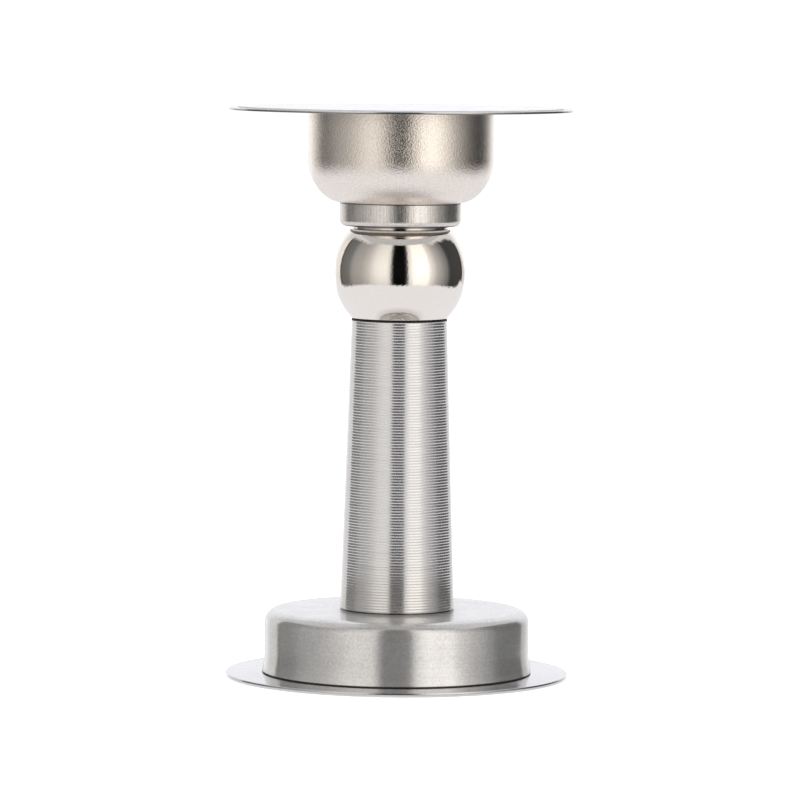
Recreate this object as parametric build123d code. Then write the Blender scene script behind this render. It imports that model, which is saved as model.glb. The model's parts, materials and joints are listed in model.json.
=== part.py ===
from build123d import *
import math
import os

# Magnetic floor door holder: floor post below, door catch above, shown engaged.
# Millimetres, +Z up the common axis, origin at the centre of the film's floor side.
# Endings: _r radius, _t thickness, _h height, _z level above the floor, _deg angle.

# --- clearances ---
fit_gap = 0.05            # between parts that plug into each other
sphere_gap = 0.02         # between spherical faces that slide on each other

# --- discs and films at both ends ---
film_r = 35.0
film_t = 0.25
disc_r = 37.0
disc_t = 0.5
plate_top_z = film_t + disc_t

# --- countersunk screws ---
screw_r = 1.5
screw_head_r = 3.0
screw_tip_chamfer = 0.4
screw_drive_r = 1.15      # hexagon recess, across corners
screw_drive_depth = 1.0
screw_hole_extra = 0.5    # hole depth past the screw's tip
floor_screw_circle_r = 24.2
floor_screw_len = 8.0
catch_screw_circle_r = 13.4
catch_screw_len = 7.0

# --- tie bolt, its washer and bushes ---
bolt_r = 2.5
bolt_clear_r = bolt_r + 0.1
bolt_head_z = 2.0
bolt_head_h = 3.5
bolt_tip_chamfer = 0.6
hex_across_flats = 8.0    # bolt head and nut
hex_corner_r = hex_across_flats / math.sqrt(3)
washer_r = 5.0
washer_t = 1.0
bolt_head_top_z = bolt_head_z + bolt_head_h
lower_bush_top_z = 19.5
upper_bush_z = 65.0
upper_bush_top_z = 73.0

# --- base cap and core ---
cap_gap = 0.15            # open line between floor plate and cap
cap_r = 28.6
cap_foot_r = 29.2         # slight flare at the foot
cap_flare_z = 5.75        # top of the flare
cap_top_z = 14.45
cap_edge_r = 2.9
cap_t = 1.2
cap_foot_z = plate_top_z + cap_gap
cap_under_z = cap_top_z - cap_t
stem_hole_r = 8.0         # through the cap and into the core
core_r = 27.35
core_chamfer = 2.2
core_hub_r = 9.0
core_pocket_r = 21.0
core_pocket_top_z = 8.5
core_bore_floor_z = 9.45
head_bore_r = 5.5
head_bore_top_z = bolt_head_top_z + washer_t

# --- stem ---
stem_foot_r = 12.4
stem_neck_r = 10.35
stem_top_z = 77.0
stem_bore_r = 6.0
spigot_r = stem_hole_r - fit_gap
spigot_z = core_bore_floor_z + fit_gap
groove_pitch = 0.6        # nominal pitch of the turned grooves up the taper
groove_depth = 0.08
seat_recess_r = 9.35
seat_recess_z = 73.6
rim_bevel_r = 9.95        # the stem's thin rim opens out under the ball
rim_bevel_z = 76.35

# --- ball head ---
ball_z = 87.45
ball_r = 14.3
ball_inner_r = 12.0
ball_bore_r = 9.7
ball_mouth_deg = 24.8     # half angle of the opening round the tie bolt
seat_r = ball_r + sphere_gap
ring_lip_t = 0.3          # the seat ring's visible edge
flat_z = ball_z + 9.3
bolt_end_z = ball_z + 2.2

# --- magnet pot, magnet and cover ---
pot_r = 10.2
pot_wall = 1.6
pot_floor_t = 1.5
pot_foot_chamfer = 0.4
pot_rim_chamfer = 0.1
pot_base_z = ball_z + 3.4
pot_top_z = flat_z + 0.6
pot_inner_r = pot_r - pot_wall
pot_floor_z = pot_base_z + pot_floor_t
magnet_r = 7.6
magnet_chamfer = 0.3
cover_t = 0.4
cover_sink = 0.1
cover_z = pot_top_z - cover_sink - cover_t

# --- clamp stack inside the ball ---
dome_washer_r = 7.8
dome_top_z = ball_z - 8.2  # the domed washer's flat top
disc_spring_count = 4
disc_spring_t = 0.5
disc_spring_cone = 0.25
disc_spring_h = disc_spring_t + disc_spring_cone
flat_washer_z = dome_top_z + disc_spring_count * disc_spring_h
nut_z = flat_washer_z + washer_t
nut_h = 3.9
nut_collar_h = 1.1
nut_collar_r = 3.7

# --- keeper ---
keeper_r = 13.1
keeper_h = 4.95
keeper_edge_r = 1.4
keeper_neck_r = 12.2
keeper_neck_top_z = 104.9
keeper_spigot_r = 9.0
keeper_spigot_top_z = 107.2
keeper_top_z = pot_top_z + keeper_h
retainer_r = 14.6
retainer_t = 1.2
clip_t = 0.8
clip_groove_r = 8.4
clip_r = 10.2
clip_opening = 3.2
clip_z = keeper_neck_top_z + retainer_t
rock_z = 103.0            # the keeper rocks about this point
rock_r = 6.5

# --- catch cup, core and plate ---
cup_r = 20.0
cup_t = 1.2
cup_inner_r = cup_r - cup_t
cup_top_z = 122.2
nose_z = 102.3
nose_radial = 7.7         # quarter-ellipse nose, radial half axis
nose_axial = 9.9          # and axial half axis
nose_centre_r = cup_r - nose_radial
nose_centre_z = nose_z + nose_axial
mouth_r = 13.4
catch_core_z = 113.5
catch_core_bore_r = 8.0
catch_plate_top_z = cup_top_z + disc_t

# --- spring seat, pin and spring ---
seat_flange_z = 107.8
seat_flange_top_z = 109.8
seat_flange_r = 9.0
seat_hub_r = 4.0
seat_hub_top_z = 118.15
pin_r = 2.5
pin_end_z = 112.8
pin_end_chamfer = 0.4
pin_head_r = 7.5
pin_head_t = 1.0
pin_head_z = cup_top_z - pin_head_t
spring_mean_r = 5.4
spring_wire_r = 0.55
spring_turns = 6.5
spring_end_rise = 2.1 * spring_wire_r  # rise over one closed end turn
spring_points_per_turn = 16
spring_low_z = seat_flange_top_z + spring_wire_r
spring_high_z = pin_head_z - spring_wire_r


# ================= shared shapes =================
def turned(points):
    """Revolve a closed profile about Z.

    Each entry is (r, z), or (r, z, mid_r, mid_z) for an arc that ends at (r, z).
    The first entry's edge starts from the last point.
    """
    edges = []
    for i, point in enumerate(points):
        previous = points[i - 1]
        start, end = (previous[0], 0, previous[1]), (point[0], 0, point[1])
        if len(point) == 4:
            edges.append(Edge.make_three_point_arc(start, (point[2], 0, point[3]), end))
        else:
            edges.append(Edge.make_line(start, end))
    return revolve(Face(Wire(edges)), Axis.Z)


def ring(outer_r, inner_r, z0, z1):
    return turned([(inner_r, z0), (outer_r, z0), (outer_r, z1), (inner_r, z1)])


def disc(radius, z0, z1):
    return ring(radius, 0, z0, z1)


def on_circle(radius, centre_z, deg, centre_r=0):
    """Profile point on a circle, deg measured up from its lowest point."""
    angle = math.radians(deg)
    return centre_r + radius * math.sin(angle), centre_z - radius * math.cos(angle)


def arc(radius, centre_z, deg0, deg1, centre_r=0):
    """Arc entry for turned(), from deg0 to deg1 on a circle."""
    end = on_circle(radius, centre_z, deg1, centre_r)
    middle = on_circle(radius, centre_z, (deg0 + deg1) / 2, centre_r)
    return (*end, *middle)


def deg_at_r(radius, r):
    """Angle on a sphere's lower half where its section radius is r."""
    return math.degrees(math.asin(r / radius))


def deg_at_z(radius, centre_z, z):
    """Angle on a sphere where its height is z."""
    return math.degrees(math.acos((centre_z - z) / radius))


def hexagon(z, height):
    return Pos(0, 0, z) * extrude(RegularPolygon(hex_corner_r, 6), height)


def screw_places(face_z, circle_r, count, first_deg, flip=0):
    """Head face locations on a circle; flip=180 points the shanks down."""
    return [
        Pos(0, 0, face_z) * Rot(0, 0, first_deg + 360 / count * k)
        * Pos(circle_r, 0, 0) * Rot(flip, 0, 0)
        for k in range(count)
    ]


floor_places = screw_places(film_t, floor_screw_circle_r, 4, 45)
catch_places = screw_places(catch_plate_top_z, catch_screw_circle_r, 3, 90, flip=180)


def screws(places, length):
    """Countersunk screws, each with its head face at its place."""
    tip_r = screw_r - screw_tip_chamfer
    body = turned([
        (0, 0), (screw_head_r, 0), (screw_r, screw_head_r - screw_r),
        (screw_r, length - screw_tip_chamfer), (tip_r, length), (0, length),
    ])
    screw = body - extrude(RegularPolygon(screw_drive_r, 6), screw_drive_depth)
    return Compound(children=[place * screw for place in places])


def drilled(solid, places, length):
    """Cut a countersunk hole for a screw of this length at each place."""
    depth = length + screw_hole_extra
    hole = turned([
        (0, 0), (screw_head_r, 0), (screw_r, screw_head_r - screw_r), (screw_r, depth), (0, depth),
    ])
    for place in places:
        solid = solid - place * hole
    return solid


# ================= floor base =================
def floor_adhesive_film():
    return disc(film_r, 0, film_t)


def floor_plate():
    return drilled(disc(disc_r, film_t, plate_top_z), floor_places, floor_screw_len)


def floor_plate_screws():
    return screws(floor_places, floor_screw_len)


def base_core():
    core = turned([
        (bolt_clear_r, head_bore_top_z), (head_bore_r, head_bore_top_z),
        (head_bore_r, plate_top_z), (core_hub_r, plate_top_z),
        (core_hub_r, core_pocket_top_z), (core_pocket_r, core_pocket_top_z),
        (core_pocket_r, plate_top_z), (core_r, plate_top_z),
        (core_r, cap_under_z - core_chamfer), (core_r - core_chamfer, cap_under_z),
        (stem_hole_r, cap_under_z), (stem_hole_r, core_bore_floor_z),
        (bolt_clear_r, core_bore_floor_z),
    ])
    return drilled(core, floor_places, floor_screw_len)


def base_cap():
    """Drawn cap: straight wall, rounded top edge, slight flare at the foot."""
    inner_r = cap_r - cap_t
    edge_centre_r = cap_r - cap_edge_r
    edge_centre_z = cap_top_z - cap_edge_r
    flare_mid_z = (cap_foot_z + cap_flare_z) / 2
    flare_mid = (cap_foot_r - cap_r) / 4  # a quarter of the flare at mid height curves it
    return turned([
        (cap_foot_r - cap_t, cap_foot_z, inner_r + flare_mid, flare_mid_z),
        (cap_foot_r, cap_foot_z),
        (cap_r, cap_flare_z, cap_r + flare_mid, flare_mid_z),
        (cap_r, edge_centre_z),
        arc(cap_edge_r, edge_centre_z, 90, 180, edge_centre_r),
        (stem_hole_r, cap_top_z),
        (stem_hole_r, cap_under_z),
        (edge_centre_r, cap_under_z),
        arc(cap_edge_r - cap_t, edge_centre_z, 180, 90, edge_centre_r),
        (inner_r, cap_flare_z),
    ])


# ================= stem and tie bolt =================
def stem():
    """Tapered tube with fine turned grooves and a spigot at its foot."""
    taper_len = stem_top_z - cap_top_z
    groove_count = round(taper_len / groove_pitch)
    pitch = taper_len / groove_count

    def taper_r(z):
        return stem_foot_r + (stem_neck_r - stem_foot_r) * (z - cap_top_z) / taper_len

    profile = [(stem_bore_r, spigot_z), (spigot_r, spigot_z), (spigot_r, cap_top_z)]
    for k in range(groove_count):
        crest_z = cap_top_z + k * pitch
        root_z = crest_z + pitch / 2
        profile.append((taper_r(crest_z), crest_z))
        profile.append((taper_r(root_z) - groove_depth, root_z))
    profile += [
        (stem_neck_r, stem_top_z), (rim_bevel_r, stem_top_z), (seat_recess_r, rim_bevel_z),
        (seat_recess_r, seat_recess_z), (stem_bore_r, seat_recess_z),
    ]
    return turned(profile)


def stem_lower_bush():
    return ring(stem_bore_r, bolt_clear_r, spigot_z, lower_bush_top_z)


def stem_upper_bush():
    return ring(stem_bore_r, bolt_clear_r, upper_bush_z, upper_bush_top_z)


def tie_bolt():
    """Head in the core, end inside the ball."""
    shank = turned([
        (0, bolt_head_top_z), (bolt_r, bolt_head_top_z), (bolt_r, bolt_end_z - bolt_tip_chamfer),
        (bolt_r - bolt_tip_chamfer, bolt_end_z), (0, bolt_end_z),
    ])
    return shank + hexagon(bolt_head_z, bolt_head_h)


def tie_bolt_washer():
    return ring(washer_r, bolt_clear_r, bolt_head_top_z, head_bore_top_z)


# ================= clamp stack inside the ball =================
def ball_clamp_washer():
    """Its domed underside bears on the ball's inner sphere."""
    dome_r = ball_inner_r - sphere_gap
    bore_deg = deg_at_r(dome_r, bolt_clear_r)
    return turned([
        on_circle(dome_r, ball_z, bore_deg),
        arc(dome_r, ball_z, bore_deg, deg_at_r(dome_r, dome_washer_r)),
        (dome_washer_r, dome_top_z),
        (bolt_clear_r, dome_top_z),
    ])


def clamp_disc_springs():
    """Coned discs stacked in alternating directions, the lowest with its outer edge down."""
    springs = []
    for k in range(disc_spring_count):
        z = dome_top_z + k * disc_spring_h
        outer_down = k % 2 == 0
        low_r, high_r = (washer_r, bolt_clear_r) if outer_down else (bolt_clear_r, washer_r)
        points = [
            (low_r, z), (low_r, z + disc_spring_t),
            (high_r, z + disc_spring_h), (high_r, z + disc_spring_cone),
        ]
        # both directions keep the same winding
        springs.append(turned(points if outer_down else points[::-1]))
    return Compound(children=springs)


def clamp_flat_washer():
    return ring(washer_r, bolt_clear_r, flat_washer_z, nut_z)


def clamp_lock_nut():
    nut_top_z = nut_z + nut_h + nut_collar_h
    blank = hexagon(nut_z, nut_h) + disc(nut_collar_r, nut_z, nut_top_z)
    return blank - disc(bolt_r, nut_z - 1, nut_top_z + 1)


# ================= ball head =================
def ball_seat_ring():
    outer_r = seat_recess_r - fit_gap
    base_z = seat_recess_z + fit_gap
    lip_z = stem_top_z + ring_lip_t
    lip_deg = deg_at_z(seat_r, ball_z, lip_z)
    return turned([
        (stem_bore_r, base_z),
        (outer_r, base_z),
        (outer_r, rim_bevel_z - fit_gap),
        (rim_bevel_r - sphere_gap, stem_top_z),
        (stem_neck_r, stem_top_z),
        (stem_neck_r, lip_z),
        on_circle(seat_r, ball_z, lip_deg),
        arc(seat_r, ball_z, lip_deg, deg_at_r(seat_r, stem_bore_r)),
    ])


def ball_shell():
    flat_deg = deg_at_z(ball_r, ball_z, flat_z)
    bore_deg = deg_at_r(ball_inner_r, ball_bore_r)
    return turned([
        arc(ball_inner_r, ball_z, bore_deg, ball_mouth_deg),
        on_circle(ball_r, ball_z, ball_mouth_deg),
        arc(ball_r, ball_z, ball_mouth_deg, flat_deg),
        (pot_r, flat_z),
        (pot_r, pot_base_z),
        (ball_bore_r, pot_base_z),
        on_circle(ball_inner_r, ball_z, bore_deg),
    ])


def magnet_pot():
    return turned([
        (0, pot_base_z), (pot_r - pot_foot_chamfer, pot_base_z),
        (pot_r, pot_base_z + pot_foot_chamfer), (pot_r, pot_top_z - pot_rim_chamfer),
        (pot_r - pot_rim_chamfer, pot_top_z), (pot_inner_r, pot_top_z),
        (pot_inner_r, pot_floor_z), (0, pot_floor_z),
    ])


def magnet_spacer_ring():
    return ring(pot_inner_r, magnet_r, pot_floor_z, cover_z)


def magnet():
    return turned([
        (0, pot_floor_z), (magnet_r, pot_floor_z), (magnet_r, cover_z - magnet_chamfer),
        (magnet_r - magnet_chamfer, cover_z), (0, cover_z),
    ])


def magnet_cover_disc():
    return disc(pot_inner_r, cover_z, cover_z + cover_t)


# ================= keeper =================
def keeper_plate():
    """Plate on the magnet pot, with a grooved spigot and a domed top."""
    dome_deg = deg_at_z(rock_r, rock_z, keeper_spigot_top_z)
    edge_centre_r = keeper_r - keeper_edge_r
    return turned([
        (0, pot_top_z),
        (edge_centre_r, pot_top_z),
        arc(keeper_edge_r, pot_top_z + keeper_edge_r, 0, 90, edge_centre_r),
        (keeper_r, keeper_top_z),
        (keeper_neck_r, keeper_top_z),
        (keeper_neck_r, keeper_neck_top_z),
        (keeper_spigot_r, keeper_neck_top_z),
        (keeper_spigot_r, clip_z),
        (clip_groove_r, clip_z),
        (clip_groove_r, clip_z + clip_t),
        (keeper_spigot_r, clip_z + clip_t),
        (keeper_spigot_r, keeper_spigot_top_z),
        on_circle(rock_r, rock_z, dome_deg),
        (0, rock_z + rock_r, *on_circle(rock_r, rock_z, (dome_deg + 180) / 2)),
    ])


def keeper_retainer():
    return ring(retainer_r, keeper_spigot_r, keeper_neck_top_z, clip_z)


def keeper_circlip():
    """Ring with an opening on its -Y side."""
    opening = Pos(0, -clip_r, clip_z + clip_t / 2) * Box(clip_opening, clip_r, clip_t * 3)
    return ring(clip_r, clip_groove_r, clip_z, clip_z + clip_t) - opening


# ================= door catch =================
def spring_seat():
    """Flange with a hollow underside over the keeper's dome, and a hub round the pin."""
    hollow_r = rock_r + sphere_gap
    bore_r = pin_r + fit_gap
    bore_deg = 180 - deg_at_r(hollow_r, bore_r)
    return turned([
        arc(hollow_r, rock_z, bore_deg, deg_at_z(hollow_r, rock_z, seat_flange_z)),
        (seat_flange_r, seat_flange_z),
        (seat_flange_r, seat_flange_top_z),
        (seat_hub_r, seat_flange_top_z),
        (seat_hub_r, seat_hub_top_z),
        (bore_r, seat_hub_top_z),
        on_circle(hollow_r, rock_z, bore_deg),
    ])


def catch_guide_pin():
    return turned([
        (0, pin_end_z), (pin_r - pin_end_chamfer, pin_end_z),
        (pin_r, pin_end_z + pin_end_chamfer), (pin_r, pin_head_z),
        (pin_head_r, pin_head_z), (pin_head_r, cup_top_z), (0, cup_top_z),
    ])


def spring_height(turn):
    """Height of the wire's centre after this many turns; one closed turn at each end."""
    if turn < 1:
        return spring_low_z + spring_end_rise * turn
    if turn > spring_turns - 1:
        return spring_high_z - spring_end_rise * (spring_turns - turn)
    live_rise = spring_high_z - spring_low_z - 2 * spring_end_rise
    return spring_low_z + spring_end_rise + live_rise / (spring_turns - 2) * (turn - 1)


def buffer_spring():
    points = []
    for k in range(int(spring_turns * spring_points_per_turn) + 1):
        turn = k / spring_points_per_turn
        angle = 2 * math.pi * turn
        x, y = spring_mean_r * math.cos(angle), spring_mean_r * math.sin(angle)
        points.append((x, y, spring_height(turn)))
    path = Edge.make_spline(points)
    wire_plane = Plane(origin=path @ 0, z_dir=path % 0)
    return sweep(wire_plane * Circle(spring_wire_r), path=path)


def nose_edge(radial, axial):
    """Part of the nose's quarter-ellipse outside the mouth, and where it starts."""
    centre = (nose_centre_r, 0, nose_centre_z)
    plane = Plane(origin=centre, x_dir=(1, 0, 0), z_dir=(0, -1, 0))
    start_deg = -math.degrees(math.acos((mouth_r - nose_centre_r) / radial))
    edge = Edge.make_ellipse(radial, axial, plane, start_deg, 0)
    return edge, (mouth_r, 0, nose_centre_z + axial * math.sin(math.radians(start_deg)))


def catch_cup():
    """Thin cup, open at the top, its lower end curving in to the mouth."""
    outer, outer_start = nose_edge(nose_radial, nose_axial)
    inner, inner_start = nose_edge(nose_radial - cup_t, nose_axial - cup_t)
    outer_foot, outer_top = (cup_r, 0, nose_centre_z), (cup_r, 0, cup_top_z)
    inner_foot, inner_top = (cup_inner_r, 0, nose_centre_z), (cup_inner_r, 0, cup_top_z)
    outline = Wire([
        outer,
        Edge.make_line(outer_foot, outer_top),
        Edge.make_line(outer_top, inner_top),
        Edge.make_line(inner_top, inner_foot),
        inner,
        Edge.make_line(inner_start, outer_start),
    ])
    return revolve(Face(outline), Axis.Z)


def catch_core():
    core = ring(cup_inner_r, catch_core_bore_r, catch_core_z, cup_top_z)
    return drilled(core, catch_places, catch_screw_len)


def catch_plate():
    return drilled(disc(disc_r, cup_top_z, catch_plate_top_z), catch_places, catch_screw_len)


def catch_plate_screws():
    return screws(catch_places, catch_screw_len)


def door_adhesive_film():
    return disc(film_r, catch_plate_top_z, catch_plate_top_z + film_t)


# ================= export =================
# Each piece's function gives its file and label their name.
pieces = [
    floor_adhesive_film, floor_plate, floor_plate_screws, base_core, base_cap,
    stem, stem_lower_bush, stem_upper_bush, tie_bolt, tie_bolt_washer,
    ball_clamp_washer, clamp_disc_springs, clamp_flat_washer, clamp_lock_nut,
    ball_seat_ring, ball_shell, magnet_pot, magnet_spacer_ring, magnet, magnet_cover_disc,
    keeper_plate, keeper_retainer, keeper_circlip,
    spring_seat, catch_cup, catch_core, catch_guide_pin, buffer_spring,
    catch_plate, catch_plate_screws, door_adhesive_film,
]

os.makedirs("parts", exist_ok=True)
for build in pieces:
    solid = build()
    solid.label = build.__name__
    export_step(solid, f"parts/{build.__name__}.step")
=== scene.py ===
# Magnetic door holder, upright on the Z axis: the floor post with its ball head below, the door
# catch above. Sections are (radius, z) in mm, meshes are in metres. The camera is on the -Y side.
import json
import math
import bmesh
import bpy
from mathutils import Matrix, Vector


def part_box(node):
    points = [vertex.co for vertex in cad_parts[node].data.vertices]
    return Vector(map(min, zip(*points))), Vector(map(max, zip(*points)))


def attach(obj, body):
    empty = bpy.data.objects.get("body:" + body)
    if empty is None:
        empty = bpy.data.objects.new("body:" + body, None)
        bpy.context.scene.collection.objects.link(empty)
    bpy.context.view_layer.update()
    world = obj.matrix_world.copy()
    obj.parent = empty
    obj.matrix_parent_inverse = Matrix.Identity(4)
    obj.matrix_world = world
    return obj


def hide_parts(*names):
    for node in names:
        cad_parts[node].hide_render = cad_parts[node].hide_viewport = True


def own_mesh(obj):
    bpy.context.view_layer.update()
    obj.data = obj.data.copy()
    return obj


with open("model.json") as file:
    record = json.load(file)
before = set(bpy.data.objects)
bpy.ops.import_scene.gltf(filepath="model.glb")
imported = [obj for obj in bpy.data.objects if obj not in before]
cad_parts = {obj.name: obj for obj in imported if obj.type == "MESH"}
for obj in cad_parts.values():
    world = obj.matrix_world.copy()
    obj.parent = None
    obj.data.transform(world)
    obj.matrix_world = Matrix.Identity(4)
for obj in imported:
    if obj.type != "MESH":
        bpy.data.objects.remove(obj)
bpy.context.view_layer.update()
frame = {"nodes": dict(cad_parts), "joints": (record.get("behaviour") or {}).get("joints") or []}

MM = 0.001
scene = bpy.context.scene

# ------------------------------------------------------------------ sizes from the CAD frame (mm)


def extent(node):
    """(radius, bottom, top) of a CAD node in mm."""
    low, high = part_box(node)
    return high[0] / MM, low[2] / MM, high[2] / MM


floor_disc_bottom = extent("floor_plate")[1]
catch_disc_bottom = extent("catch_plate")[1]
cap_foot_r, cap_bottom, cap_top = extent("base_cap")
stem_foot_r, stem_bottom, stem_top = extent("stem")
ring_r, ring_bottom, ring_top = extent("ball_seat_ring")
ball_top = extent("ball_shell")[2]
pot_r, pot_bottom, pot_top = extent("magnet_pot")
keeper_r, keeper_bottom, keeper_top = extent("keeper_plate")
cup_r, _, cup_top = extent("catch_cup")
spring_r, spring_bottom, spring_top = extent("buffer_spring")
joints = {joint["name"]: joint for joint in frame["joints"]}
ball_z = joints["head_tilt"]["pos_m"][2] / MM
rock_z = joints["keeper_swivel"]["pos_m"][2] / MM

# ------------------------------------------------------------------ geometry helpers
SHARP_TURN = 28.0  # degrees of turn above which an edge stays hard


def arc(centre_r, centre_z, radius, start, end, steps, radius_z=None):
    """Points on an arc or ellipse section, angles in degrees from +r towards +z."""
    radius_z = radius if radius_z is None else radius_z
    angles = [math.radians(start + (end - start) * i / steps) for i in range(steps + 1)]
    return [(centre_r + radius * math.cos(a), centre_z + radius_z * math.sin(a)) for a in angles]


def soften(points, size, min_turn=25.0, steps=3):
    """Rounds each sharp corner of a closed section by up to size, so that edges catch light."""
    rounded = []
    for i, (x, z) in enumerate(points):
        before, after = points[i - 1], points[(i + 1) % len(points)]
        back_x, back_z = before[0] - x, before[1] - z
        ahead_x, ahead_z = after[0] - x, after[1] - z
        back, ahead = math.hypot(back_x, back_z), math.hypot(ahead_x, ahead_z)
        if back < 1e-9 or ahead < 1e-9:
            continue
        cosine = (back_x * ahead_x + back_z * ahead_z) / (back * ahead)
        turn = 180 - math.degrees(math.acos(max(-1, min(1, cosine))))
        reach = min(size, back * 0.4, ahead * 0.4)
        if x < 1e-6 or turn < min_turn or reach < 1e-4:
            rounded.append((x, z))
            continue
        first = (x + back_x / back * reach, z + back_z / back * reach)
        last = (x + ahead_x / ahead * reach, z + ahead_z / ahead * reach)
        for step in range(steps + 1):
            t = step / steps
            weights = (1 - t) ** 2, 2 * t * (1 - t), t * t
            rounded.append(tuple(
                weights[0] * first[axis] + weights[1] * (x, z)[axis] + weights[2] * last[axis]
                for axis in (0, 1)
            ))
    return rounded


def add_object(name, data):
    obj = bpy.data.objects.new(name, data)
    scene.collection.objects.link(obj)
    return obj


def mark_sharp(mesh, degrees=SHARP_TURN):
    """Smooth faces with hard edges where the surface turns by more than degrees."""
    owners = {}
    for face in mesh.polygons:
        face.use_smooth = True
        for key in face.edge_keys:
            owners.setdefault(key, []).append(face.index)
    limit = math.cos(math.radians(degrees))
    normals = [face.normal.copy() for face in mesh.polygons]
    flags = [False] * len(mesh.edges)
    for edge in mesh.edges:
        own = owners.get(tuple(sorted(edge.vertices)), [])
        flags[edge.index] = len(own) != 2 or normals[own[0]].dot(normals[own[1]]) < limit
    sharp = mesh.attributes.get("sharp_edge")
    sharp = sharp or mesh.attributes.new("sharp_edge", "BOOLEAN", "EDGE")
    sharp.data.foreach_set("value", flags)
    mesh.update()


def lathe(name, section, seg=256, sharp=SHARP_TURN):
    """Turns a closed section about the axis. A point on the axis becomes one vertex."""
    verts, rings = [], []
    for radius, z in section:
        if radius < 1e-6:
            rings.append([len(verts)] * seg)
            verts.append((0.0, 0.0, z * MM))
        else:
            rings.append(list(range(len(verts), len(verts) + seg)))
            for i in range(seg):
                angle = 2 * math.pi * i / seg
                verts.append((radius * MM * math.cos(angle), radius * MM * math.sin(angle), z * MM))
    faces = []
    for ring, following in zip(rings, rings[1:] + rings[:1]):
        ring_is_point, following_is_point = ring[0] == ring[1], following[0] == following[1]
        if ring_is_point and following_is_point:
            continue
        for i in range(seg):
            j = (i + 1) % seg
            if ring_is_point:
                faces.append((ring[i], following[j], following[i]))
            elif following_is_point:
                faces.append((ring[i], ring[j], following[i]))
            else:
                faces.append((ring[i], ring[j], following[j], following[i]))
    mesh = bpy.data.meshes.new(name)
    mesh.from_pydata(verts, [], faces)
    mesh.update()
    signed_area = sum(
        section[i][0] * section[i - 1][1] - section[i - 1][0] * section[i][1]
        for i in range(len(section))
    )
    if signed_area > 0:
        mesh.flip_normals()
    mark_sharp(mesh, sharp)
    return add_object(name, mesh)


def cut(obj, cutters):
    """Cuts the cutters out of obj and keeps a plain mesh."""
    for cutter in cutters:
        modifier = obj.modifiers.new("cut", "BOOLEAN")
        modifier.operation = "DIFFERENCE"
        modifier.solver = "EXACT"
        modifier.object = cutter
    bpy.context.view_layer.update()
    depsgraph = bpy.context.evaluated_depsgraph_get()
    mesh = bpy.data.meshes.new_from_object(obj.evaluated_get(depsgraph))
    obj.modifiers.clear()
    uncut = obj.data
    obj.data = mesh
    bpy.data.meshes.remove(uncut)
    for cutter in cutters:
        bpy.data.objects.remove(cutter)
    mark_sharp(mesh)
    return obj


# ------------------------------------------------------------------ material helpers


class Nodes:
    """A small wrapper that builds a node tree line by line."""

    def __init__(self, tree):
        self.tree = tree
        tree.nodes.clear()

    def add(self, kind, **settings):
        node = self.tree.nodes.new(kind)
        for key, value in settings.items():
            setattr(node, key, value)
        return node

    def link(self, source, target):
        self.tree.links.new(source, target)

    def feed(self, socket, value):
        if isinstance(value, bpy.types.NodeSocket):
            self.link(value, socket)
        else:
            socket.default_value = value

    def math(self, operation, a, b=0.0, c=None, clamp=False):
        node = self.add("ShaderNodeMath", operation=operation, use_clamp=clamp)
        self.feed(node.inputs[0], a)
        self.feed(node.inputs[1], b)
        if c is not None:
            self.feed(node.inputs[2], c)
        return node.outputs[0]

    def sway(self, base, noise, amount, clamp=False):
        """base moved up and down by amount times the noise about its middle."""
        return self.math("MULTIPLY_ADD", self.math("SUBTRACT", noise, 0.5), amount, base, clamp)

    def vector(self, x, y, z):
        node = self.add("ShaderNodeCombineXYZ")
        for socket, value in zip(node.inputs, (x, y, z)):
            self.feed(socket, value)
        return node.outputs[0]

    def split(self, vector):
        node = self.add("ShaderNodeSeparateXYZ")
        self.link(vector, node.inputs[0])
        return node.outputs

    def noise(self, vector, scale=1.0, detail=2.0, rough=0.5):
        node = self.add("ShaderNodeTexNoise")
        self.link(vector, node.inputs["Vector"])
        node.inputs["Scale"].default_value = scale
        node.inputs["Detail"].default_value = detail
        node.inputs["Roughness"].default_value = rough
        return node.outputs["Fac"]

    def remap(self, value, source, target):
        """Maps the source range onto the target range, clamped."""
        node = self.add("ShaderNodeMapRange", clamp=True)
        self.link(value, node.inputs["Value"])
        for socket, limit in zip(node.inputs[1:5], (*source, *target)):
            socket.default_value = limit
        return node.outputs["Result"]

    def mix(self, factor, a, b, blend="MIX"):
        node = self.add("ShaderNodeMix", data_type="RGBA", blend_type=blend)
        self.feed(node.inputs["Factor"], factor)
        colours = [socket for socket in node.inputs if socket.type == "RGBA"]
        for socket, value in zip(colours, (a, b)):
            self.feed(socket, (*value, 1.0) if isinstance(value, tuple) else value)
        return [socket for socket in node.outputs if socket.type == "RGBA"][0]

    def mix_shader(self, factor, a, b):
        node = self.add("ShaderNodeMixShader")
        for socket, value in zip(node.inputs, (factor, a, b)):
            self.feed(socket, value)
        return node.outputs[0]

    def bump(self, height, distance, normal=None):
        """distance is the depth of the relief in mm."""
        node = self.add("ShaderNodeBump")
        node.inputs["Strength"].default_value = 1.0
        node.inputs["Distance"].default_value = distance * MM
        self.link(height, node.inputs["Height"])
        if normal is not None:
            self.link(normal, node.inputs["Normal"])
        return node.outputs["Normal"]


def start(name):
    """A material with one principled shader on its surface."""
    material = bpy.data.materials.new(name)
    material.use_nodes = True
    net = Nodes(material.node_tree)
    surface = net.add("ShaderNodeOutputMaterial").inputs["Surface"]
    bsdf = net.add("ShaderNodeBsdfPrincipled")
    net.link(bsdf.outputs[0], surface)
    return material, net, bsdf, surface


def position_mm(net):
    coords = net.add("ShaderNodeTexCoord")
    scale = net.add("ShaderNodeVectorMath", operation="SCALE")
    scale.inputs["Scale"].default_value = 1000.0
    net.link(coords.outputs["Object"], scale.inputs[0])
    return scale.outputs[0]


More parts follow.
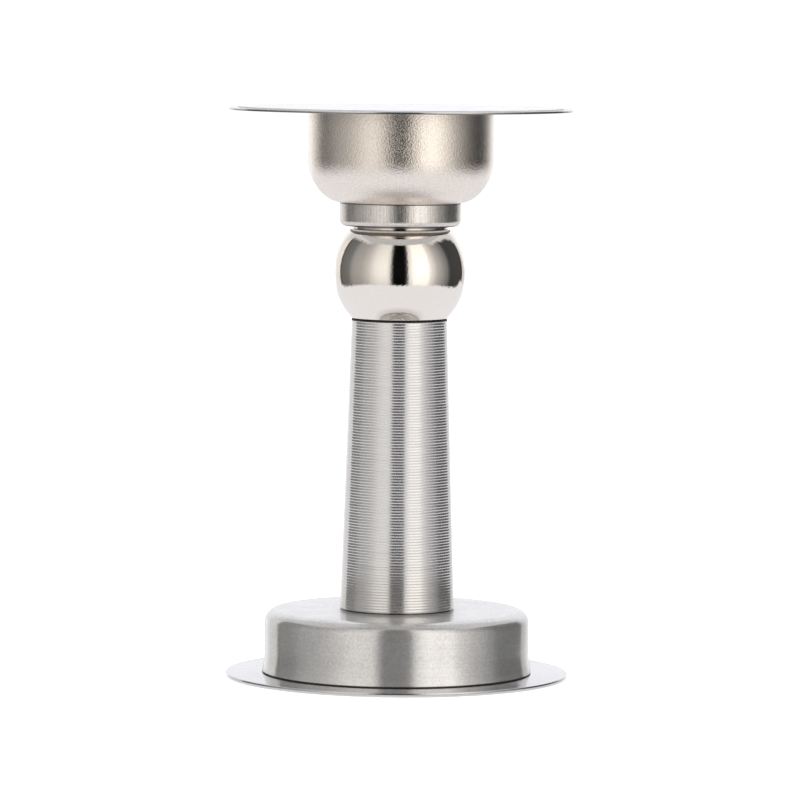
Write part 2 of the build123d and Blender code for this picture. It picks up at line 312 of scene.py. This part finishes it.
def axis_distance(net, x, y):
    square = net.math("ADD", net.math("MULTIPLY", x, x), net.math("MULTIPLY", y, y))
    return net.math("SQRT", square)


def turned_lines(net, pos, per_mm):
    """Noise drawn out round the axis: the lines a lathe or a brush leaves."""
    wander = 0.6  # change of the lines on the way round
    x, y, z = net.split(pos)
    radius = axis_distance(net, x, y)
    safe = net.math("MAXIMUM", radius, 0.01)
    around = [net.math("MULTIPLY", net.math("DIVIDE", v, safe), wander) for v in (x, y)]
    along = net.math("MULTIPLY", net.math("ADD", radius, z), per_mm)
    return net.noise(net.vector(*around, along), detail=3.0, rough=0.6)


def upright_lines(net, pos, per_mm):
    scales = per_mm, per_mm, 0.15  # z is slow, so the lines run upright
    drawn = [net.math("MULTIPLY", v, scale) for v, scale in zip(net.split(pos), scales)]
    return net.noise(net.vector(*drawn), detail=3.0, rough=0.6)


def metal(
    name, colour, dark, rough, rough_var, lines=None, line_bump=0.0, grain=0.0, grain_bump=0.0,
    smudge=0.35, upright=False, cloud_tone=0.25, line_tone=1.6, grain_tone=1.8, aniso=0.0,
    broad=0.0, broad_rough=0.55, shade=None
):
    """Bare or plated metal; give it lines, grain or both.
    lines is brush lines per mm, grain grains per mm, smudge the scale of the clouds. The _bump
    values are depths in mm, the _tone values the swing between dark and colour. aniso draws
    highlights out across the lines. broad is the share of a second, wide highlight.
    shade(net, pos) may return a factor that darkens the colour."""
    material, net, bsdf, surface = start(name)
    pos = position_mm(net)
    bsdf.inputs["Metallic"].default_value = 1.0
    cloud = net.noise(pos, scale=smudge, detail=3.0, rough=0.55)
    tone = net.remap(cloud, (0.3, 0.7), (0.5 - cloud_tone / 2, 0.5 + cloud_tone / 2))
    roughness = net.remap(cloud, (0.25, 0.75), (rough - rough_var, rough + rough_var))
    normal = None
    if aniso:
        bsdf.inputs["Anisotropic"].default_value = aniso
        bsdf.inputs["Anisotropic Rotation"].default_value = 0.25
        tangent = net.add("ShaderNodeTangent", direction_type="RADIAL", axis="Z")
        net.link(tangent.outputs[0], bsdf.inputs["Tangent"])
    if lines:
        streak = (upright_lines if upright else turned_lines)(net, pos, lines)
        tone = net.sway(tone, streak, line_tone, clamp=True)
        roughness = net.sway(roughness, streak, rough_var * 2.5)
        normal = net.bump(streak, line_bump)
    if grain:
        coarse = net.noise(pos, scale=grain, rough=0.6)
        fine = net.noise(pos, scale=grain * 2.7, rough=0.6)
        normal = net.bump(net.math("MULTIPLY_ADD", fine, 0.45, coarse), grain_bump, normal)
        tone = net.sway(tone, coarse, grain_tone, clamp=True)
        roughness = net.sway(roughness, fine, rough_var * 2.0)
    paint = net.mix(tone, dark, colour)
    if shade is not None:
        paint = net.mix(shade(net, pos), (0.035, 0.03, 0.027), paint)
    net.link(paint, bsdf.inputs["Base Color"])
    net.link(net.math("MAXIMUM", roughness, 0.02), bsdf.inputs["Roughness"])
    net.link(normal, bsdf.inputs["Normal"])
    if broad:
        wide = net.add("ShaderNodeBsdfPrincipled")
        wide.inputs["Metallic"].default_value = 1.0
        wide.inputs["Roughness"].default_value = broad_rough
        net.link(paint, wide.inputs["Base Color"])
        net.link(normal, wide.inputs["Normal"])
        net.link(net.mix_shader(broad, bsdf.outputs[0], wide.outputs[0]), surface)
    return material


def painted_rim_shade(radius, thick):
    """Paints shade onto the lower part, thick mm high, of a disc's cut rim: strongly on the
    catch's disc, faintly on the floor's."""
    floor_share, strength = 0.25, 0.75
    between_discs = 100.0  # a height that parts the two discs

    def factor(net, pos):
        x, y, z = net.split(pos)
        on_floor = net.math("LESS_THAN", z, floor_disc_bottom + thick)
        above = net.math("GREATER_THAN", z, between_discs)
        on_catch = net.math("MULTIPLY", above, net.math("LESS_THAN", z, catch_disc_bottom + thick))
        low = net.math("MAXIMUM", net.math("MULTIPLY", on_floor, floor_share), on_catch)
        rim = net.remap(axis_distance(net, x, y), (radius - 0.12, radius - 0.03), (0.0, 1.0))
        part = net.math("MULTIPLY", rim, low)
        return net.math("SUBTRACT", 1.0, net.math("MULTIPLY", part, strength))
    return factor


def low_line(bottom, top):
    """Darkens the shadow line under a foot, fading out from bottom to top."""
    def factor(net, pos):
        return net.remap(net.split(pos)[2], (bottom, top), (0.12, 1.0))
    return factor


def lip_shadow(top, inner_r):
    """Darkens the underside of a rounded lip, below top and outside inner_r."""
    strength = 0.82

    def factor(net, pos):
        x, y, z = net.split(pos)
        below = net.remap(z, (top - 0.06, top + 0.06), (1.0, 0.0))
        outside = net.remap(axis_distance(net, x, y), (inner_r, inner_r + 0.15), (0.0, 1.0))
        part = net.math("MULTIPLY", below, outside)
        return net.math("SUBTRACT", 1.0, net.math("MULTIPLY", part, strength))
    return factor


def plastic(name, colour, dark, rough, grain=4.0, grain_bump=0.01, sheen_lines=None):
    rough_var = 0.08
    material, net, bsdf, _ = start(name)
    pos = position_mm(net)
    grains = net.noise(pos, scale=grain, detail=4.0, rough=0.6)
    cloud = net.noise(pos, scale=0.25)
    tone = net.sway(net.remap(cloud, (0.3, 0.7), (0.0, 1.0)), grains, 0.8, clamp=True)
    roughness = net.remap(grains, (0.3, 0.7), (rough - rough_var, rough + rough_var))
    net.link(net.mix(tone, dark, colour), bsdf.inputs["Base Color"])
    net.link(roughness, bsdf.inputs["Roughness"])
    relief = grains
    if sheen_lines:
        relief = net.math("ADD", grains, turned_lines(net, pos, sheen_lines))
    net.link(net.bump(relief, grain_bump), bsdf.inputs["Normal"])
    return material


# ------------------------------------------------------------------ materials
stainless_cap = metal(
    "satin_stainless_cap", colour=(0.84, 0.83, 0.82), dark=(0.66, 0.65, 0.64),
    rough=0.105, rough_var=0.03, lines=5.0, line_bump=0.0012, line_tone=0.8,
    grain=1.9, grain_bump=0.012, grain_tone=1.9, aniso=0.2, broad=0.44, broad_rough=0.56,
    smudge=0.12, cloud_tone=0.5, shade=low_line(bottom=1.04, top=1.14))
# the disc rims' lower edges get painted shade
stainless_disc = metal(
    "bright_stainless_disc", colour=(0.72, 0.71, 0.705), dark=(0.60, 0.59, 0.585),
    rough=0.13, rough_var=0.02, lines=6.0, line_bump=0.0008, grain=2.2, grain_bump=0.010,
    grain_tone=1.2, aniso=0.3, broad=0.12, shade=painted_rim_shade(radius=37.0, thick=0.26))
stainless_stem = metal(
    "turned_stainless_stem", colour=(0.80, 0.785, 0.77), dark=(0.70, 0.685, 0.67),
    rough=0.12, rough_var=0.015, lines=7.0, line_bump=0.001, broad=0.33, broad_rough=0.5,
    shade=low_line(bottom=14.72, top=14.80))
nickel_ball = metal(
    "polished_nickel_ball", colour=(0.90, 0.85, 0.79), dark=(0.83, 0.78, 0.715),
    rough=0.03, rough_var=0.012, smudge=0.2, grain=1.5, grain_bump=0.008, grain_tone=0.8)
nickel_cup = metal(
    "bead_blasted_nickel_cup", colour=(0.95, 0.870, 0.79), dark=(0.755, 0.692, 0.625),
    rough=0.115, rough_var=0.02, grain=2.9, grain_bump=0.060, cloud_tone=0.05, grain_tone=1.6)
nickel_keeper = metal(
    "nickel_plated_keeper", colour=(0.84, 0.80, 0.755), dark=(0.66, 0.63, 0.60),
    rough=0.21, rough_var=0.03, lines=4.0, line_bump=0.030, line_tone=2.0, grain=2.4,
    grain_bump=0.02, grain_tone=1.6, upright=True, broad=0.2,
    shade=lip_shadow(top=97.70, inner_r=11.45))
# the pot's nickel is set darker than the keeper's and the ball's: painted shade for its place in
# the gap under the keeper
nickel_pot = metal(
    "nickel_plated_pot", colour=(0.74, 0.69, 0.63), dark=(0.62, 0.57, 0.52),
    rough=0.12, rough_var=0.02, lines=6.0, line_bump=0.001,
    shade=low_line(bottom=96.80, top=96.90))
magnet_plate = metal(
    "magnet_plating", colour=(0.70, 0.69, 0.67), dark=(0.60, 0.59, 0.58),
    rough=0.22, rough_var=0.04, grain=3.0, grain_bump=0.004)
zinc_steel = metal(
    "zinc_plated_steel", colour=(0.66, 0.67, 0.68), dark=(0.52, 0.53, 0.55),
    rough=0.30, rough_var=0.06, lines=3.0, line_bump=0.003, grain=1.5, grain_bump=0.004)
core_steel = metal(
    "turned_core_steel", colour=(0.56, 0.56, 0.57), dark=(0.42, 0.42, 0.43),
    rough=0.34, rough_var=0.06, lines=3.5, line_bump=0.006)
spring_steel = metal(
    "spring_steel", colour=(0.50, 0.49, 0.48), dark=(0.36, 0.35, 0.35),
    rough=0.28, rough_var=0.05, grain=3.0, grain_bump=0.004)
brass = metal(
    "turned_brass", colour=(0.80, 0.62, 0.33), dark=(0.66, 0.50, 0.26),
    rough=0.25, rough_var=0.05, lines=4.0, line_bump=0.003)
black_nylon = plastic(
    "black_seat_nylon", colour=(0.010, 0.010, 0.010), dark=(0.005, 0.005, 0.005),
    rough=0.55, sheen_lines=5.0)
white_nylon = plastic(
    "natural_nylon", colour=(0.62, 0.605, 0.56), dark=(0.54, 0.525, 0.475), rough=0.45)
film_white = plastic(
    "adhesive_film_liner", colour=(0.60, 0.60, 0.61), dark=(0.52, 0.525, 0.535),
    rough=0.42, grain=1.1, grain_bump=0.03)

# ------------------------------------------------------------------ visible pieces


def finish(obj, material):
    obj.data.materials.clear()
    obj.data.materials.append(material)


def stand_in_for(obj, node, body, material):
    finish(obj, material)
    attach(obj, body)
    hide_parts(node)


# thin discs with rolled edges, countersunk for the hidden screws
screw_r = 3.0
sink_depth = 0.8
sink_overlap = 0.3


def countersink(x, y, face_z, inward):
    """A cone cutter from face_z into the disc; inward is +1 for up, -1 for down."""
    mouth_z, end_z = face_z - inward * sink_overlap, face_z + inward * sink_depth
    section = [(0, mouth_z), (screw_r + sink_overlap, mouth_z), (screw_r - sink_depth, end_z),
               (0, end_z)]
    cutter = lathe("cutter", section, seg=48)
    cutter.data.transform(Matrix.Translation((x * MM, y * MM, 0)))
    return cutter


def disc(name, node, body, screws, from_top):
    radius, bottom, top = extent(node)
    section = soften([(0, bottom), (radius, bottom), (radius, top), (0, top)], 0.17, steps=4)
    face_z, inward = (top, -1) if from_top else (bottom, 1)
    plain = lathe(name, section, seg=320)
    holed = cut(plain, [countersink(x, y, face_z, inward) for x, y in screws])
    stand_in_for(holed, node, body, stainless_disc)


offset = extent("floor_plate_screws")[0] - screw_r
square = [(x * offset, y * offset) for x in (1, -1) for y in (1, -1)]
disc("floor_disc", "floor_plate", "post", square, from_top=False)

circle_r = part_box("catch_plate_screws")[1][1] / MM - screw_r
angles = [math.radians(90 + 120 * i) for i in range(3)]
triangle = [(circle_r * math.cos(a), circle_r * math.sin(a)) for a in angles]
disc("catch_disc", "catch_plate", "catch", triangle, from_top=True)

# drawn base cap with its flared foot
cap_t, cap_wall_r, cap_edge_r, flare_top = 1.2, 28.6, 2.9, 5.75
cap_hole_r = 8.0


def flare(inset, steps=10):
    drop, spread = flare_top - cap_bottom, cap_foot_r - cap_wall_r
    return [
        (cap_wall_r - inset + spread * (i / steps) ** 2, flare_top - drop * i / steps)
        for i in range(steps + 1)
    ]


edge_centre = cap_wall_r - cap_edge_r, cap_top - cap_edge_r
cap_section = (
    flare(0)[::-1]
    + arc(*edge_centre, cap_edge_r, 0, 90, 16)
    + [(cap_hole_r, cap_top), (cap_hole_r, cap_top - cap_t)]
    + arc(*edge_centre, cap_edge_r - cap_t, 90, 0, 10)
    + flare(cap_t)
)
base_cap = lathe("base_cap_drawn", soften(cap_section, 0.18, min_turn=40), seg=320)
stand_in_for(base_cap, "base_cap", "post", stainless_cap)

# tapered stem with a turned groove about every 0.6 mm
groove_pitch, groove_depth, groove_steps = 0.6, 0.074, 6
clearance = 0.05
spigot_r, bore_r, spigot_edge = cap_hole_r - clearance, 6.0, 0.3
recess_r, recess_z = 9.35, ring_bottom - clearance
bevel_r, bevel_z = 9.95, 76.35
foot_r, foot_top = stem_foot_r - 0.35, cap_top + 0.25  # narrow step on the cap
step_n = round((stem_top - cap_top) / groove_pitch) * groove_steps
grooves = []
for i in range(step_n + 1):
    t = i / step_n
    groove, step = divmod(i, groove_steps)
    z = cap_top + (stem_top - cap_top) * t
    wander = 1 + 0.22 * math.sin(1.7 * groove) * math.sin(0.43 * groove + 1.0)
    fade = 0.62 + 0.38 * min(1.0, (z - cap_top) / 16.0)  # shallower near the cap
    dip = groove_depth * fade * wander * (1 - (2 * step / groove_steps - 1) ** 2)
    if z > foot_top + 0.04:
        grooves.append((stem_foot_r + (ring_r - stem_foot_r) * t - dip, z))
stem_section = (
    [(bore_r, stem_bottom), (spigot_r - spigot_edge, stem_bottom),
     (spigot_r, stem_bottom + spigot_edge), (spigot_r, cap_top),
     (foot_r, cap_top), (foot_r, foot_top)]
    + grooves
    + [(bevel_r, stem_top), (recess_r, bevel_z), (recess_r, recess_z), (bore_r, recess_z)]
)
stem = lathe("stem_turned", stem_section, seg=180, sharp=24.0)
stand_in_for(stem, "stem", "post", stainless_stem)

# black seat ring, hollowed to the ball
ball_r = 14.3
seat_r = ball_r + 0.02
ring_foot_r = recess_r - clearance
lip_angle = -math.degrees(math.asin((ball_z - ring_top) / seat_r))
bore_angle = -math.degrees(math.acos(bore_r / seat_r))
ring_section = [
    (bore_r, ring_bottom), (ring_foot_r, ring_bottom), (ring_foot_r, bevel_z - clearance),
    (bevel_r - 0.02, stem_top), (ring_r, stem_top), (ring_r, ring_top),
] + arc(0, ball_z, seat_r, lip_angle, bore_angle, 14)
seat_ring = lathe("seat_ring_black", soften(ring_section, 0.08, min_turn=45))
stand_in_for(seat_ring, "ball_seat_ring", "seat_ring", black_nylon)

# polished ball with its top flat, magnet pocket and hollow
hollow_r, pocket_r, throat_r = 12.0, 10.2, 9.7
mouth_angle = 24.8 - 90  # edge of the opening below, 24.8 degrees off the axis
flat_angle = math.degrees(math.asin((ball_top - ball_z) / ball_r))
throat_angle = -math.degrees(math.acos(throat_r / hollow_r))
ball_section = (
    arc(0, ball_z, ball_r, mouth_angle, flat_angle, 84)
    + [(pocket_r, ball_top), (pocket_r, pot_bottom), (throat_r, pot_bottom)]
    + arc(0, ball_z, hollow_r, throat_angle, mouth_angle, 20)
)
ball = lathe("ball_polished", soften(ball_section, 0.16, min_turn=30), seg=320)
stand_in_for(ball, "ball_shell", "ball_head", nickel_ball)

# magnet pot, open at the top
pot_edge = 0.4
pot_inner_r, pot_floor = pot_r - 1.6, pot_bottom + 1.5
pot_section = [
    (0, pot_bottom), (pot_r - pot_edge, pot_bottom), (pot_r, pot_bottom + pot_edge),
    (pot_r, pot_top), (pot_inner_r, pot_top), (pot_inner_r, pot_floor), (0, pot_floor),
]
pot = lathe("magnet_pot_turned", soften(pot_section, 0.1, min_turn=40))
stand_in_for(pot, "magnet_pot", "ball_head", nickel_pot)

# keeper: face disc with a rounded lower edge, neck, spigot with clip groove, rocking dome
lip_r = 1.4
face_top = keeper_bottom + 4.95
neck_r, neck_top = 12.2, 104.9
pin_r, pin_top = 9.0, 107.2
clip_r, clip_bottom, clip_top = 8.4, neck_top + 1.2, neck_top + 2.0
dome_r = keeper_top - rock_z
dome_angle = math.degrees(math.asin((pin_top - rock_z) / dome_r))
keeper_section = (
    [(0, keeper_bottom)]
    + arc(keeper_r - lip_r, keeper_bottom + lip_r, lip_r, -90, 0, 12)
    + [(keeper_r, face_top), (neck_r, face_top), (neck_r, neck_top), (pin_r, neck_top),
       (pin_r, clip_bottom), (clip_r, clip_bottom), (clip_r, clip_top), (pin_r, clip_top),
       (pin_r, pin_top)]
    + arc(0, rock_z, dome_r, dome_angle, 90, 14)[:-1]
    + [(0, keeper_top)]
)
keeper = lathe("keeper_turned", soften(keeper_section, 0.12, min_turn=40), seg=320)
stand_in_for(keeper, "keeper_plate", "keeper", nickel_keeper)

# blasted cup with a quarter-ellipse nose and an open mouth
cup_t, nose_r, nose_h, mouth_r = 1.2, 7.7, 9.9, 13.4
nose_bottom = 102.3
nose_centre_r, nose_centre_z = cup_r - nose_r, nose_bottom + nose_h


def nose_angle(radius):
    """Where a nose ellipse of this half width meets the mouth."""
    return -math.degrees(math.acos((mouth_r - nose_centre_r) / radius))


inner_nose_r = nose_r - cup_t
cup_section = (
    arc(nose_centre_r, nose_centre_z, nose_r, nose_angle(nose_r), 0, 40, nose_h)
    + [(cup_r, 115.5), (cup_r, 119.0), (cup_r, cup_top), (cup_r - cup_t, cup_top)]
    + arc(nose_centre_r, nose_centre_z, inner_nose_r, 0, nose_angle(inner_nose_r), 24,
          nose_h - cup_t)
)
cup = lathe("catch_cup_blasted", soften(cup_section, 0.22, min_turn=40, steps=4), seg=320)
stand_in_for(cup, "catch_cup", "catch", nickel_cup)

# buffer spring: closed and ground end coils, drawn at one fixed length
wire_r = 0.55
coil_r = spring_r - wire_r
turns, live_turns = 6.5, 4.5
closed_pitch = 2.1 * wire_r
grind = 0.02


def coil_height(turn):
    low, high = spring_bottom + wire_r, spring_top - wire_r
    if turn < 1:
        return low + closed_pitch * turn
    if turn > turns - 1:
        return high - closed_pitch * (turns - turn)
    return low + closed_pitch + (high - low - 2 * closed_pitch) / live_turns * (turn - 1)


def coil(name, per_turn=64, around=16):
    verts, faces = [], []
    count = int(turns * per_turn)
    near = 0.01  # turns to each side over which the rise is taken
    for i in range(count + 1):
        turn = i / per_turn
        angle = 2 * math.pi * turn
        out = Vector((math.cos(angle), math.sin(angle), 0))
        climb = coil_height(min(turns, turn + near)) - coil_height(max(0, turn - near))
        rise = climb / (2 * near) / (2 * math.pi)
        along = Vector((-math.sin(angle) * coil_r, math.cos(angle) * coil_r, rise)).normalized()
        side = along.cross(out)
        centre = out * coil_r + Vector((0, 0, coil_height(turn)))
        for j in range(around):
            turned = 2 * math.pi * j / around
            point = centre + out * (wire_r * math.cos(turned)) - side * (wire_r * math.sin(turned))
            z = min(max(point.z, spring_bottom + grind), spring_top - grind)
            verts.append((point.x * MM, point.y * MM, z * MM))
    for i in range(count):
        ring, following = i * around, (i + 1) * around
        for j in range(around):
            k = (j + 1) % around
            faces.append((ring + j, ring + k, following + k, following + j))
    faces.append(tuple(range(around))[::-1])
    faces.append(tuple(count * around + j for j in range(around)))
    mesh = bpy.data.meshes.new(name)
    mesh.from_pydata(verts, [], faces)
    mesh.validate()
    editable = bmesh.new()
    editable.from_mesh(mesh)
    bmesh.ops.recalc_face_normals(editable, faces=editable.faces)
    editable.to_mesh(mesh)
    editable.free()
    mark_sharp(mesh, 40)
    return add_object(name, mesh)


spring = coil("buffer_spring_coil")
stand_in_for(spring, "buffer_spring", "catch", spring_steel)
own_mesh(spring)

# ------------------------------------------------------------------ carried-over pieces
carried = {
    "floor_adhesive_film": film_white,
    "door_adhesive_film": film_white,
    "floor_plate_screws": zinc_steel,
    "catch_plate_screws": zinc_steel,
    "base_core": core_steel,
    "catch_core": core_steel,
    "stem_lower_bush": white_nylon,
    "stem_upper_bush": white_nylon,
    "tie_bolt": zinc_steel,
    "tie_bolt_washer": zinc_steel,
    "clamp_flat_washer": zinc_steel,
    "clamp_lock_nut": zinc_steel,
    "ball_clamp_washer": brass,
    "clamp_disc_springs": spring_steel,
    "magnet_spacer_ring": brass,
    "magnet": magnet_plate,
    "magnet_cover_disc": white_nylon,
    "keeper_retainer": spring_steel,
    "keeper_circlip": spring_steel,
    "spring_seat": black_nylon,
    "catch_guide_pin": zinc_steel,
}
for node, material in carried.items():
    finish(frame["nodes"][node], material)

# ------------------------------------------------------------------ studio floor
half, floor_z = 3.0, -0.0002  # metres
corners = [(x * half, y * half, floor_z) for x, y in ((-1, -1), (1, -1), (1, 1), (-1, 1))]
floor_mesh = bpy.data.meshes.new("studio_floor")
floor_mesh.from_pydata(corners, [], [(0, 1, 2, 3)])
floor = add_object("studio_floor", floor_mesh)
floor_paint, _, floor_bsdf, _ = start("studio_floor_paint")
floor_bsdf.inputs["Base Color"].default_value = (0.93, 0.93, 0.93, 1)
floor_bsdf.inputs["Roughness"].default_value = 0.9
floor_bsdf.inputs["Emission Color"].default_value = (1, 1, 1, 1)
floor_bsdf.inputs["Emission Strength"].default_value = 0.3
floor_mesh.materials.append(floor_paint)
floor.visible_glossy = False

# ------------------------------------------------------------------ world
# soft boxes, dark flags and a pale table, drawn by direction; only reflections see them
world = bpy.data.worlds.new("studio")
scene.world = world
world.use_nodes = True
sky = Nodes(world.node_tree)
sky_out = sky.add("ShaderNodeOutputWorld")
direction = sky.add("ShaderNodeTexCoord").outputs["Generated"]
sky_x, sky_y, sky_z = sky.split(direction)
# azimuth in half turns: 0 towards the camera, +1/-1 behind; elevation in degrees
azimuth = sky.math("ARCTAN2", sky_x, sky.math("MULTIPLY", sky_y, -1.0))
azimuth = sky.math("DIVIDE", azimuth, math.pi)
elevation = sky.math("MINIMUM", sky.math("MAXIMUM", sky_z, -0.9999), 0.9999)
elevation = sky.math("MULTIPLY", sky.math("ARCSINE", elevation), 180 / math.pi)
away = sky.math("ABSOLUTE", azimuth)


def ramp(factor, stops):
    node = sky.add("ShaderNodeValToRGB")
    sky.link(factor, node.inputs[0])
    elements = node.color_ramp.elements
    while len(elements) > 1:
        elements.remove(elements[-1])
    elements[0].position = stops[0][0]
    elements[0].color = (*stops[0][1], 1)
    for place, colour in stops[1:]:
        elements.new(place).color = (*colour, 1)
    return node.outputs[0]


def linear(level):
    """An sRGB level of 0 to 255 as linear light."""
    level = level / 255
    return level / 12.92 if level <= 0.04045 else ((level + 0.055) / 1.055) ** 2.4


def panels(stops):
    """Ramp from (degrees from the camera's direction, sRGB level): bright panels are slightly
    warm, those behind the object slightly cool."""
    gain, hot_gain = 1.18, 1.25  # for all levels, and further for the brightest
    colours = []
    for degrees, level in stops:
        light = linear(level) * gain
        if level >= 250:
            light *= hot_gain
        warm = 0.07 * min(1.0, max(0.0, (level - 90) / 120)) if degrees < 150 else -0.03
        colours.append((degrees / 180, (light, light * (1 - 0.45 * warm), light * (1 - warm))))
    return ramp(sky.math("ABSOLUTE", azimuth), colours)


def edge_height(stops):
    """(degrees from the camera's direction, elevation) to an elevation along the azimuth."""
    height = ramp(away, [(degrees / 180, ((up + 90) / 180,) * 3) for degrees, up in stops])
    return sky.math("MULTIPLY_ADD", height, 180.0, -90.0)


left_panels = panels([
    (0, 12), (8, 13), (11.5, 26), (14.6, 132), (18.2, 219), (21.7, 241), (26, 246), (36, 242),
    (44, 233), (48, 224), (55, 203), (59, 191), (63, 183), (71, 167), (80, 160), (90, 153),
    (95, 140), (99.5, 119), (105, 112), (117, 105), (122, 104), (124.5, 76), (126.5, 80),
    (128.5, 225), (133, 236), (141, 230), (152, 248), (160, 255), (168, 241), (180, 238),
])
right_panels = panels([
    (0, 12), (7, 14), (10, 28), (13, 95), (16.5, 232), (20.6, 249), (26, 254), (50, 252),
    (54, 246), (58, 227), (62, 214), (66, 193), (70, 176), (79, 154), (84, 138), (88, 126),
    (92, 117), (96, 84), (100, 62), (117, 65), (131, 67), (136, 56), (138, 62), (140.5, 205),
    (149, 214), (158, 248), (162, 255), (169, 241), (180, 238),
])
# (elevation, brightness)
falloff = [
    (-90, 0.75), (-20, 0.78), (-12, 0.88), (-2, 0.97), (12, 1.0), (30, 0.92), (50, 0.8),
    (66, 0.6), (90, 0.5),
]
both_sides = sky.mix(sky.math("GREATER_THAN", azimuth, 0.0), left_panels, right_panels)
brightness = ramp(sky.remap(elevation, (-90, 90), (0, 1)),
                  [((up + 90) / 180, (v, v, v)) for up, v in falloff])
lit = sky.mix(1.0, both_sides, brightness, blend="MULTIPLY")

# above the boxes and flags, the ceiling; its ragged edge comes down towards the back
rag = sky.math("SUBTRACT", sky.noise(direction, scale=11.0, detail=4.0, rough=0.65), 0.5)
top_edge = edge_height([
    (0, 60), (55, 48), (75, 40.5), (92, 39.5), (105, 36.8), (120, 32), (130, 25.5), (138, 19),
    (143, 10), (148, 0), (180, 0),
])
ragged = sky.math("MULTIPLY_ADD", rag, 8.0, elevation)
over = sky.remap(sky.math("SUBTRACT", ragged, top_edge), (-1.5, 1.5), (0.0, 1.0))
ceiling = sky.mix(sky.remap(away, (0.25, 0.5), (0.0, 1.0)), (0.40, 0.39, 0.38), (0.72, 0.72, 0.73))
ceiling = sky.mix(sky.remap(away, (0.76, 0.86), (0.0, 1.0)), ceiling, (1.06, 1.07, 1.12))
upper = sky.mix(over, lit, ceiling)

# below, the pale table, with a slightly ragged edge
low_edge = edge_height([
    (0, -20.8), (28, -20.0), (60, -18.2), (80, -17.5), (100, -17), (110, -15.7), (120, -14.4),
    (126, -12.5), (130, -8), (180, -8),
])
ragged = sky.math("MULTIPLY_ADD", rag, 5.0, elevation)
table = sky.remap(sky.math("SUBTRACT", ragged, low_edge), (-1.2, 1.2), (1.0, 0.0))
pale = sky.mix(sky.remap(elevation, (-72, -60), (0.0, 1.0)),
               (0.60, 0.61, 0.64), (0.905, 0.91, 0.955))
reflected = sky.mix(table, upper, pale)


def background(colour, strength):
    node = sky.add("ShaderNodeBackground")
    sky.feed(node.inputs[0], colour)
    node.inputs[1].default_value = strength
    return node.outputs[0]


WHITE = (1.0, 1.0, 1.0, 1)
rays = sky.add("ShaderNodeLightPath").outputs
seen = sky.mix_shader(rays["Is Glossy Ray"], background(WHITE, 1.3), background(reflected, 1.0))
seen = sky.mix_shader(rays["Is Camera Ray"], seen, background(WHITE, 1.05))
sky.link(seen, sky_out.inputs["Surface"])

# ------------------------------------------------------------------ lamp
# one broad overhead lamp gives plastics and the floor their shape
lamp_data = bpy.data.lights.new("overhead_box", "AREA")
lamp_data.shape = "DISK"
lamp_data.size = 0.9
lamp_data.energy = 6.0
lamp = add_object("overhead_box", lamp_data)
lamp.location = (0.15, -0.35, 1.1)
lamp_aim = Vector((0, 0, 0.06))
lamp.rotation_euler = (lamp_aim - lamp.location).to_track_quat("-Z", "Y").to_euler()
lamp.visible_glossy = False

# ------------------------------------------------------------------ camera
camera_place = (0.00028, -1.1616, 0.14825)
look_down, roll = 4.357, 0.5  # degrees
camera_data = bpy.data.cameras.new("camera")
camera_data.lens = 242.7
camera_data.sensor_width = 36.0
camera_data.clip_start = 0.05
camera_data.clip_end = 20.0
camera = add_object("camera", camera_data)
camera.matrix_world = (
    Matrix.Translation(camera_place)
    @ Matrix.Rotation(math.radians(90 - look_down), 4, "X")
    @ Matrix.Rotation(math.radians(roll), 4, "Z")
)
scene.camera = camera
scene.view_settings.view_transform = "Standard"
scene.view_settings.look = "None"
scene.view_settings.exposure = 0.0
scene.view_settings.gamma = 1.0

bpy.context.view_layer.update()
